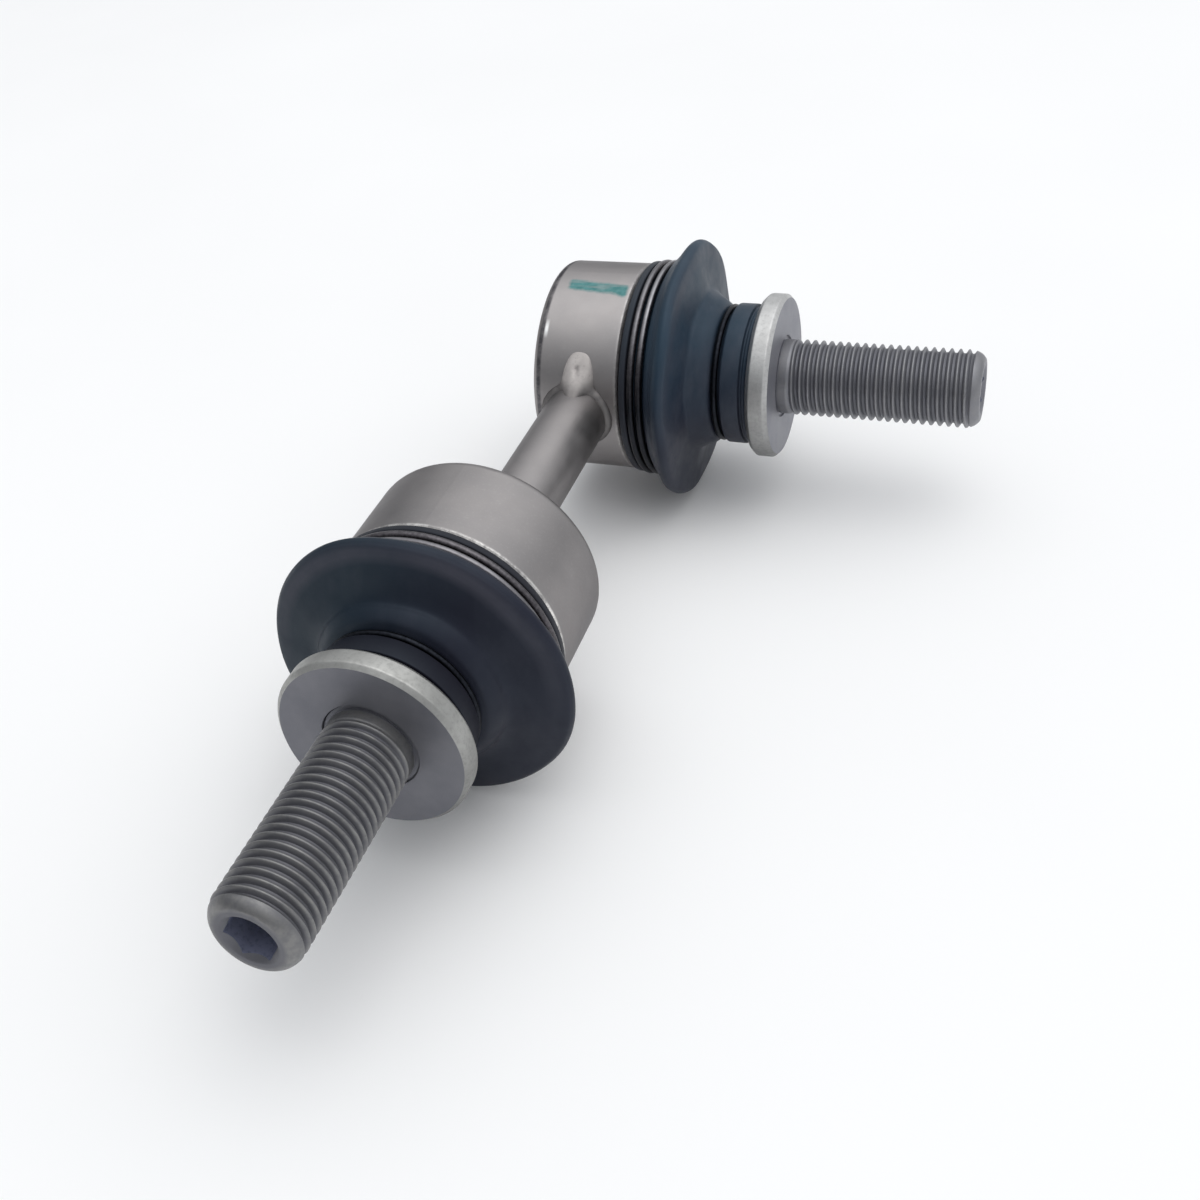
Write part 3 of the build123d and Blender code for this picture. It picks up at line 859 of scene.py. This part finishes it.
@dataclass
class BallStud:
    """A ball stud: ball, neck, flange, threaded shank and hexagon socket."""

    site: JointSite
    rim_tone: Grey
    flange_tone_and_light: float
    shank_tone_and_light: float
    crest_wear_and_highlight: float
    ball_r: float = 11.0
    back_flat_r: float = 3.5
    neck_r: float = 6.0
    taper_start: float = 14.0
    taper_end: float = 18.6
    boot_seat_r: float = 8.6
    flange_back: float = 25.0
    flange_front: float = 29.0
    flange_r: float = 15.2
    flange_edge: float = 0.7
    undercut_r: float = 7.6
    undercut_root_r: float = 6.7
    undercut_depth: float = 0.45
    thread_r: float = 6.98
    thread_pitch: float = 1.5
    thread_depth: float = 0.76
    thread_start: float = 2.2
    blank_drop: float = 0.08
    run_out: float = 1.2
    tip: float = 64.0
    tip_chamfer: float = 1.45
    tip_chamfer_length: float = 2.2
    hex_half_af: float = 3.5
    hex_depth: float = 8.0
    hex_lead_r: float = 4.29

    def thread_profile(self, phase: np.ndarray) -> np.ndarray:
        """Depth of a rolled metric thread, 0 on the crest and 1 in the root.

        With t the distance from the crest in pitches, the depth is ((t - 1/16) / (5/16)) held between
        0 and 1, eased at both ends.

        Args:
            phase: place along the pitch, in pitches from a crest.

        Returns:
            The depth, 0 to 1.
        """
        t = np.abs((phase + 0.5) % 1.0 - 0.5)
        ramp = np.clip((t - 0.0625) / 0.3125, 0.0, 1.0)
        return 0.65 * ramp + 0.35 * smooth_step(ramp)

    def shank(self) -> Patch:
        """The threaded shank, from the flange to the tip's chamfered rim.

        A point at turn u and place v along the helix has height flange + pitch (v + u - 1) and radius
        thread_r - blank_drop + e (blank_drop - thread_depth profile(v)), where e eases in over one pitch
        at the root and out over run_out at the tip. At t along the tip's cone the radius is never more
        than thread_r - tip_chamfer (0.5 t + 0.5 t^4).

        Returns:
            The surface, which runs on from its last column to its first one pitch along.
        """
        length = self.tip - self.flange_front
        turns = math.ceil(length / self.thread_pitch) + 1
        # Rows stand closer together where the profile bends.
        steps = np.array([-0.5, -0.42, -0.36, -0.27, -0.17, -0.09, -0.04, 0.04, 0.09, 0.17, 0.27, 0.36, 0.42])
        v = (np.arange(turns)[:, None] + 0.5 + steps).reshape(-1)[:, None]
        u = np.linspace(0.0, 1.0, COLUMNS + 1)[None]
        up = np.clip(self.thread_pitch * (v + u - 1.0), 0.0, length)
        into_tip = up - length + self.tip_chamfer_length
        ease = smooth_step((up - self.thread_start + 0.5 * self.thread_pitch) / self.thread_pitch)
        ease = ease * (1 - smooth_step(into_tip / self.run_out))
        depth = self.thread_depth * self.thread_profile(v - 0.5)
        radius = self.thread_r - self.blank_drop + ease * (self.blank_drop - depth)
        t = np.clip(into_tip / self.tip_chamfer_length, 0.0, 1.0)
        radius = np.minimum(radius, self.thread_r - self.tip_chamfer * (0.5 * t + 0.5 * t**4))
        return Patch(self.site.place(radius * MM, (self.flange_front + up) * MM, u * TURN), closed=False)

    def tip_face(self) -> list[Patch]:
        """The tip's face and its hexagon socket.

        The hexagon's radius at angle a is half_af / cos((a + 30) mod 60 - 30). The lead-in cone drops as
        far as it narrows, so it meets the wall at tip - (lead_r - radius).

        Returns:
            The surfaces, from the rim to the socket and from there to the middle of its floor.
        """
        u = np.arange(COLUMNS) * TURN / COLUMNS
        wall = self.hex_half_af / np.cos(np.mod(u + TURN / 12, TURN / 6) - TURN / 12)
        wall = np.minimum(wall, self.hex_half_af / math.cos(TURN / 12) - 0.05)
        rim, lead = self.thread_r - self.tip_chamfer, self.hex_lead_r
        meet = self.tip - (lead - wall)
        floor = self.tip - self.hex_depth
        rows = [(rim, self.tip), (0.5 * (rim + lead) + 0.15, self.tip), (lead + 0.12, self.tip),
                (lead - 0.05, self.tip - 0.08), (wall, meet), (wall, 0.5 * (meet + floor)),
                (wall, floor + 0.15), (wall - 0.15, floor), (0.55 * wall, floor - 0.5), (0.0, floor - 1.1)]
        radius, height = (np.stack([np.broadcast_to(row[i], u.shape) for row in rows]) for i in range(2))
        grid = self.site.place(radius * MM, height * MM, u[None])
        return [Patch(grid[:5]), Patch(grid[4:], slot=2)]

    def build(self) -> bpy.types.Object:
        """Make the stud, dress it and set it on its body.

        Returns:
            The piece.
        """
        a = np.linspace(math.acos(self.back_flat_r / self.ball_r), -math.acos(self.neck_r / self.ball_r), 40)
        ball = np.stack([self.ball_r * np.cos(a), -self.ball_r * np.sin(a)], axis=1)
        behind = np.concatenate([[(0.0, ball[0, 1])], ball])
        edge, bevel_r = self.flange_edge, self.flange_r - self.flange_edge
        neck = softened([ball[-1], (self.neck_r, self.taper_start), (self.boot_seat_r, self.taper_end),
                         (self.boot_seat_r, self.flange_back), (bevel_r, self.flange_back)], 0.35)
        rim = softened([neck[-1], (self.flange_r, self.flange_back + edge),
                        (self.flange_r, self.flange_front - edge), (bevel_r, self.flange_front)], 0.22)
        low = self.flange_front - self.undercut_depth
        front = softened([rim[-1], (self.undercut_r, self.flange_front), (self.undercut_r - 0.1, low),
                          (self.undercut_root_r, low), (self.undercut_root_r, self.flange_front - 0.35),
                          (self.thread_r - self.blank_drop, self.flange_front)], 0.16)
        grey = PhosphateSteel(f"{self.site.name}_stud_phosphate", self.site, self.flange_tone_and_light,
                              self.shank_tone_and_light, self.crest_wear_and_highlight, self.flange_front, self.tip).build()
        bright = GrainySteel(f"{self.site.name}_flange_rim_steel", self.rim_tone, 0.46, pits=0.2,
                             painted_under_shade=0.6).build()
        socket = GrainySteel(f"{self.site.name}_socket_steel", Grey.SOCKET, 0.5, metal=0.3).build()
        patches = [self.site.revolved(behind), self.site.revolved(neck), self.site.revolved(rim, slot=1),
                   self.site.revolved(front), self.shank(), *self.tip_face()]
        piece = piece_from(f"{self.site.name}_threaded_ball_stud", patches, [grey, bright, socket], 34)
        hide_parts(f"{self.site.name}_ball_stud")
        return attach(piece, f"{self.site.name}_stud")


@dataclass
class DustBoot:
    """A hollow rubber bellows between the housing and the stud.

    Args:
        site: the joint that it seals.
        rubber: its finish.
        phase: where round the boot the slump lies, in radians.
        pleat: how far its pleats stand out.
        front_pull: how far the fold behind the bulge is drawn back, 0 to 1.
    """

    site: JointSite
    rubber: BootRubber
    phase: float = 0.7
    pleat: float = 0.12
    front_pull: float = 0.0
    bead_r: float = 20.2
    wire_land_r: float = 19.1
    bulge_r: float = 24.75
    fold_foot_r: float = 15.8
    fold_end_r: float = 13.6
    neck_groove_r: float = 11.7
    neck_bead_r: float = 13.1
    bore_r: float = 8.85
    fold_depth: float = 0.22
    slump: float = 0.35
    lean: float = 0.45

    def outside(self) -> np.ndarray:
        """The outer profile, from the bead's foot to the seal lip at the flange.

        Returns:
            Rows of radius and height.
        """
        foot = softened([(17.55, 3.4), (17.75, 3.08), (self.bead_r, 3.08), (self.bead_r, 4.25),
                         (self.wire_land_r, 4.45), (self.wire_land_r, 7.65), (20.35, 7.9)], 0.3, 3)
        nose, pull = self.bulge_r, self.front_pull
        flare = flowing([(20.35, 7.9), (21.3, 8.5), (22.4, 9.35), (nose - 0.75, 10.35), (nose - 0.2, 10.9),
                         (nose, 11.5), (nose - 0.25, 12.15), (nose - 0.95, 12.7), (21.4, 13.25 - 0.15 * pull),
                         (19.0, 13.8 - 0.4 * pull), (17.2, 14.3 - 0.6 * pull),
                         (self.fold_foot_r, 15.0 - 0.9 * pull), (15.15, 15.9 - 1.1 * pull),
                         (14.45, 16.7 - 1.05 * pull), (self.fold_end_r, 17.45 - 0.6 * pull), (12.7, 17.8),
                         (self.neck_groove_r, 18.1)], 5)
        groove, bead = self.neck_groove_r, self.neck_bead_r
        neck = softened([(groove, 18.1), (groove, 19.4), (bead, 19.95), (bead, 23.3), (bead - 0.6, 23.42),
                         (bead - 0.6, 23.85), (bead - 0.05, 24.0), (bead - 0.3, 24.6), (12.2, 24.93),
                         (9.6, 24.95), (self.bore_r, 24.6)], 0.25, 3)
        return np.concatenate([foot, flare[1:], neck[1:]])

    def inside(self) -> np.ndarray:
        """The inner profile, from the seal lip back to the bead's foot.

        Returns:
            Rows of radius and height.
        """
        bore = self.bore_r
        lip = [(bore, 24.6), (bore, 23.0), (bore + 0.25, 22.6), (bore, 22.2), (bore + 0.05, 18.8)]
        skin = flowing([(bore + 0.05, 18.8), (11.7, 15.9), (14.9, 13.2), (18.5, 12.1), (21.3, 11.75),
                        (21.6, 11.2), (20.4, 10.6), (19.2, 10.2)], 4)
        land = [(18.9, 9.6), (18.9, 8.1), (17.5, 8.1), (17.5, 3.4), (17.55, 3.4)]
        return np.concatenate([np.array(lip), skin[1:], np.array(land)])

    def surface(self, profile: np.ndarray, columns: int = 160) -> np.ndarray:
        """Carry the profile round and let the soft bulge settle unevenly.

        At angle a, the radius loses slump w (1 + cos(2 a + p)) / 2 + fold w (1 + sin(5 a + 3 p)) / 2 and
        lean w (1 + cos(a - p)) / 2, and the height gains 0.25 w sin(a + p), where w is a bump that is 1 at
        the bulge and 0 at both beads. Pleats add pleat w sin(7 a + 2 p) to the height. p is the phase.

        Args:
            profile: rows of radius and height.
            columns: points round the axis.

        Returns:
            The grid of points.
        """
        a = (np.arange(columns) * TURN / columns)[None]
        p = self.phase
        r, h = profile[:, :1], profile[:, 1:]
        weight = smooth_step((h - 8.2) / 2.8) * smooth_step((17.6 - h) / 4.0)
        fold = self.fold_depth * (1 + np.sin(5 * a + 3 * p))
        r = r - weight * 0.5 * (self.slump * (1 + np.cos(2 * a + p)) + fold + self.lean * (1 + np.cos(a - p)))
        h = h + weight * (0.25 * np.sin(a + p) + self.pleat * np.sin(7 * a + 2 * p))
        return self.site.place(r * MM, h * MM, a)

    def build(self) -> bpy.types.Object:
        """Make the boot and dress it.

        Returns:
            The piece.
        """
        profile = np.concatenate([self.outside(), self.inside()[1:]])
        piece = piece_from(f"{self.site.name}_rubber_boot", [Patch(self.surface(profile))],
                           [self.rubber.build()], 50)
        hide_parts(f"{self.site.name}_dust_boot")
        self.site.level(9.2)
        self.site.level(18.6)
        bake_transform(piece)
        return piece


@dataclass
class WireRing:
    """A spring wire wound round a boot."""

    site: JointSite
    name: str
    body: str
    steel: ClipWire
    radius: float
    height: float
    wire_d: float
    turns: int
    pitch: float
    gap_deg: float
    slot: str = "clip_wire"

    def path(self, t: np.ndarray) -> tuple[np.ndarray, np.ndarray]:
        """The wire's middle line: turns that lie flat, joined by a short step up.

        At t from 0 to 1 the angle is pi + half the gap + t (2 pi turns - gap), and the height rises by one
        pitch, eased, over the gap between two turns.

        Args:
            t: place along the wire.

        Returns:
            Height and angle.
        """
        gap = math.radians(self.gap_deg)
        angle = gap / 2 + t * (TURN * self.turns - gap)
        whole = np.floor((angle + gap / 2) / TURN)
        step = smooth_step((angle + gap / 2 - whole * TURN) / gap)
        height = self.height + self.pitch * np.where(whole > 0, whole - 1 + step, 0.0)
        return height, angle + math.pi

    def build(self) -> bpy.types.Object:
        """Wind the wire, dress it and set it on its body.

        Around each point of the middle line a circle of radius wire_d / 2 stands in the plane of the
        axis: radius + w cos(b), height + w sin(b). The ends are closed to their middle.

        Returns:
            The piece.
        """
        count = 180 * self.turns
        t = np.linspace(0.0, 1.0, count)
        b = np.arange(14) * TURN / 14
        swell = np.concatenate([[0.0, 0.85], np.ones(count - 2), [0.85, 0.0]])
        height, angle = self.path(np.concatenate([t[:1], t, t[-1:]]))
        w = 0.5 * self.wire_d * swell[:, None]
        points = self.site.place((self.radius + w * np.cos(b)) * MM, (height[:, None] + w * np.sin(b)) * MM,
                                 angle[:, None])
        piece = piece_from(f"{self.site.name}_{self.name}_wire", [Patch(points)], [self.steel.build()], 60)
        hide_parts(f"{self.site.name}_{self.name}_clip")
        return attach(piece, self.body)


@dataclass
class BallJoint:
    """One joint's stud, boot and clips."""

    stud: BallStud
    boot: DustBoot
    housing_wire: ClipWire
    neck_wire: ClipWire

    def build(self) -> list[bpy.types.Object]:
        """Make them all.

        Returns:
            The pieces.
        """
        site = self.stud.site
        housing_ring = WireRing(site, "housing", "link", self.housing_wire, radius=19.9, height=5.25,
                                wire_d=1.3, turns=2, pitch=1.6, gap_deg=34)
        neck_ring = WireRing(site, "neck", f"{site.name}_neck", self.neck_wire, radius=12.3, height=18.75,
                             wire_d=1.1, turns=1, pitch=0.0, gap_deg=14)
        return [part.build() for part in (self.stud, self.boot, housing_ring, neck_ring)]


@dataclass
class LinkRod:
    """The bar between the joints and its two weld beads."""

    rod_r: float = 6.0
    near_face: float = 44.6
    far_axis: float = 109.0
    housing_r: float = 19.75
    weld_leg: float = 1.25
    ripples: int = 26
    crown: float = 3.8
    crown_rise: float = 2.1
    crown_lean: float = 0.08
    crown_half_width: float = 0.34
    pit: tuple[float, float, float] = (0.6, 9.2, 0.45)
    pit_depth: float = 0.7
    sink: float = 0.05

    def bead(self, name: str, far_end: bool) -> bpy.types.Object:
        """Lay a rippled weld bead round one end of the rod.

        At angle a round the rod and place b from 0 to 1 across the bead, the crown's share is
        c = exp(-|(a - 90 deg + crown_lean) / crown_half_width|^3) at the far end and 0 at the near one. The
        leg is weld_leg (1 + ripple (1 - c)) + crown c. The radius is rod_r - 0.06 + (leg + crown_rise c)
        (0.80 + 0.05 sin(b pi)) sin(b pi / 2)^(1.4 + 1.8 c), and the distance from the wall is 0.80 leg
        cos(b pi / 2)^(1.3 + 0.4 c), less a round pit in the crown. The wall is the near housing's flat
        back, or the far housing's round side, far_axis - sqrt(housing_r^2 - z^2).

        Args:
            name: the CAD node that the bead stands for.
            far_end: the bead lies on the far housing.

        Returns:
            The piece.
        """
        columns = 240
        a = (np.arange(columns) * TURN / columns)[None]
        b = np.linspace(0.0, 1.0, 29)[:, None]
        arch = np.sin(b * math.pi)
        uneven = 0.10 * np.sin(a * 2 + 0.6) + 0.06 * np.sin(a * 5 + 2.0)
        ripple = uneven + 0.055 * arch * np.abs(np.sin(self.ripples * a / 2 + 1.3 * b)) - 0.06
        off_crown = (a - TURN / 4 + self.crown_lean) / self.crown_half_width
        hump = np.exp(-np.abs(off_crown) ** 3) if far_end else 0 * a
        leg = self.weld_leg * (1 + ripple * (1 - hump)) + self.crown * hump
        rise = (leg + self.crown_rise * hump) * (0.80 + 0.05 * arch)
        out = self.rod_r - 0.06 + rise * np.sin(b * math.pi / 2) ** (1.4 + 1.8 * hump)
        away = 0.80 * leg * np.clip(np.cos(b * math.pi / 2), 0.0, 1.0) ** (1.3 + 0.4 * hump)
        pit_x, pit_level, pit_r = self.pit
        x, z = out * np.cos(a), out * np.sin(a)
        away = away - hump * self.pit_depth * np.exp(-((z - pit_level) ** 2 + (x - pit_x) ** 2) / pit_r**2)
        if far_end:
            y = self.far_axis - np.sqrt(self.housing_r**2 - z**2) + self.sink - away
        else:
            x, y = -x, self.near_face - self.sink + away
        top = np.stack(np.broadcast_arrays(x, y, z), axis=-1) * MM
        inner, inner_low = top[-1].copy(), top[0].copy()
        inner[:, 1] += 0.25 * MM if far_end else -0.25 * MM
        inner_low[:, 1] = inner[:, 1]
        ring = np.concatenate([top, inner[None], inner_low[None], top[:1]])
        piece = piece_from(f"{name}_bead", [Patch(ring)], [WeldSteel(f"{name}_steel").build()], 60)
        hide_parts(name)
        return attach(piece, "link")

    def build(self) -> list[bpy.types.Object]:
        """Lay both beads."""
        return [self.bead("near_rod_weld", False), self.bead("far_rod_weld", True)]


@dataclass
class CarriedSolids:
    """The solids that keep their own shape and get a finish here."""

    def dress(self) -> None:
        """Put a finish on each of them."""
        finishes = {
            # The zinc tones differ between the parts as painted light.
            "near_housing": SatinZinc("near_housing_zinc", NEAR, burnished_and_lit_edge=1.0, tone=0.95),
            "far_housing": SatinZinc("far_housing_zinc", FAR, burnished_and_lit_edge=0.3, paint_mark=True,
                                     painted_under_shade=0.2, tone=1.09, painted_crease=-12.6),
            "near_retaining_ring": SatinZinc("near_ring_zinc", NEAR),
            "far_closing_plate": SatinZinc("far_plate_zinc", FAR, tone=1.09),
            "link_rod": SatinZinc("rod_zinc", tone=1.07),
            "near_ball_seat": SeatPlastic("near_seat_plastic"),
            "far_ball_seat": SeatPlastic("far_seat_plastic"),
        }
        for node, finish in finishes.items():
            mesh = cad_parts[node].data
            mesh.materials.clear()
            mesh.materials.append(finish.build())
            LOG.info("dressed %s", node)


@dataclass
class Studio:
    """Pale floor, soft light and the photograph's camera, in metres."""

    camera_at: Colour = (0.09005, -0.12498, 0.14080)
    right: Colour = (0.9078, 0.3903, -0.1539)
    down: Colour = (0.1064, -0.5689, -0.8156)
    ahead: Colour = (-0.4058, 0.7239, -0.5579)
    lens: float = 43.52
    shift: tuple[float, float] = (0.1252, -0.0786)
    overhead: Colour = (0.22, 0.20, 0.95)
    ceiling_peak: float = 1.60
    ceiling: tuple[tuple[float, float], ...] = (
        (0.0, 0.13), (0.2, 0.24), (0.5, 0.42), (0.8, 0.76), (1.0, 1.0))
    horizon_blue: float = 0.07
    lamp_at: Colour = (0.22, 0.02, 0.92)
    lamp_aim: Colour = (0.02, 0.06, 0.0)
    lamp_size: float = 0.7
    lamp_watts: float = 1.1
    lamp_tint: Colour = (1.0, 0.99, 0.97)

    def floor(self) -> None:
        """Lay a wide pale floor under the link."""
        ring = np.array([8.0, 3.0, 1.0, 0.3, 0.0])[:, None]
        a = (np.arange(64) * TURN / 64)[None]
        level = CAD_BOX[0][2] - 0.05 * MM
        points = np.stack(np.broadcast_arrays(ring * np.cos(a), ring * np.sin(a), level), axis=-1)
        floor = piece_from("floor", [Patch(points)], [PaleFloor("pale_floor").build()])

    def lamp(self) -> None:
        """Hang a square soft lamp that faces the link."""
        data = bpy.data.lights.new("softbox", "AREA")
        data.size, data.energy, data.color = self.lamp_size, self.lamp_watts, self.lamp_tint
        lamp = bpy.data.objects.new("softbox", data)
        bpy.context.scene.collection.objects.link(lamp)
        lamp.location = self.lamp_at
        aim = Vector(self.lamp_aim) - Vector(self.lamp_at)
        lamp.rotation_euler = aim.to_track_quat("-Z", "Y").to_euler()

    def world(self) -> None:
        """Fill the room with soft light, brightest about the overhead direction and dim at the horizon.

        The light along a unit vector d depends on d . overhead alone, through the ramp of ceiling levels.
        """
        g = NodeGraph(bpy.data.worlds.new("room"))
        bpy.context.scene.world = g.owner
        toward = g.vector("DOT_PRODUCT", g.coordinates["Generated"], Vector(self.overhead).normalized())
        ramp = g.add("ShaderNodeValToRGB", i0=toward)
        sky = g.add("ShaderNodeBackground", Color=ramp.outputs[0], Strength=self.ceiling_peak)
        g.add("ShaderNodeOutputWorld", Surface=sky.outputs[0])
        stops = ramp.color_ramp.elements
        while len(stops) < len(self.ceiling):
            stops.new(0.5)
        for stop, (position, level) in zip(stops, self.ceiling):
            stop.position = position
            cool = self.horizon_blue * (1 - position)
            stop.color = ((0.985 - cool) * level, (0.992 - 0.6 * cool) * level, level, 1)

    def camera(self) -> None:
        """Stand the camera where the photograph was taken."""
        data = bpy.data.cameras.new("camera")
        data.sensor_width, data.lens = 36.0, self.lens
        data.shift_x, data.shift_y = self.shift
        data.clip_start, data.clip_end = 0.01, 50.0
        camera = bpy.data.objects.new("camera", data)
        bpy.context.scene.collection.objects.link(camera)
        back, up = -np.array(self.ahead), -np.array(self.down)
        turn = np.eye(4)
        turn[:3, 0], turn[:3, 1], turn[:3, 2], turn[:3, 3] = self.right, up, back, self.camera_at
        camera.matrix_world = Matrix(turn.tolist()).normalized()
        bpy.context.scene.camera = camera

    def build(self) -> None:
        """Set the whole studio."""
        self.floor()
        self.world()
        self.lamp()
        self.camera()
        bpy.context.scene.view_settings.view_transform = "Standard"


JOINTS = (
    BallJoint(
        # The studs' tones and the far rim's paler grey differ between the joints as painted light.
        BallStud(NEAR, Grey.MACHINED, flange_tone_and_light=1.4, shank_tone_and_light=0.95, crest_wear_and_highlight=0.55),
        # The boots' tones differ between the joints as painted light; the far boot's plum underside is
        # painted shade.
        DustBoot(NEAR, BootRubber("near_boot_rubber", NEAR, tone=0.8, plum_tone=0.8, gloss=0.28,
                                  plum_side=(0.9, 0.0, -0.4), neck_shade=0.75, dust_and_sheen=0.12, painted_crest_sheen=0.85)),
        ClipWire("near_housing_steel", NEAR, Grey.WIRE),
        # The neck wires are near black, painted shade in their grooves.
        ClipWire("near_neck_steel", NEAR, Grey.WIRE_SHADE)),
    BallJoint(
        BallStud(FAR, Grey.MACHINED_LIT, flange_tone_and_light=1.85, shank_tone_and_light=1.48, crest_wear_and_highlight=0.30),
        DustBoot(FAR, BootRubber("far_boot_rubber", FAR, tone=1.7, plum_tone=0.95, gloss=0.38,
                                 plum_side=(0.0, 0.0, -1.0), neck_shade=0.0, dust_and_sheen=0.34, painted_crest_sheen=0.35),
                 phase=2.3, pleat=-0.16, front_pull=1.0),
        ClipWire("far_housing_steel", FAR, Grey.WIRE, inner_highlight=0.45, highlight_from=10, painted_shade_level=8),
        ClipWire("far_neck_steel", FAR, Grey.WIRE_SHADE)),
)


def main() -> None:
    """Set the studio, dress the carried solids and build every sub-assembly."""
    logging.basicConfig(level=logging.INFO, format="%(name)s: %(message)s")
    Studio().build()
    CarriedSolids().dress()
    for assembly in (LinkRod(), *JOINTS):
        for piece in assembly.build():
            LOG.info("built %s, %d faces", piece.name, len(piece.data.polygons))


if __name__ == "__main__":
    main()
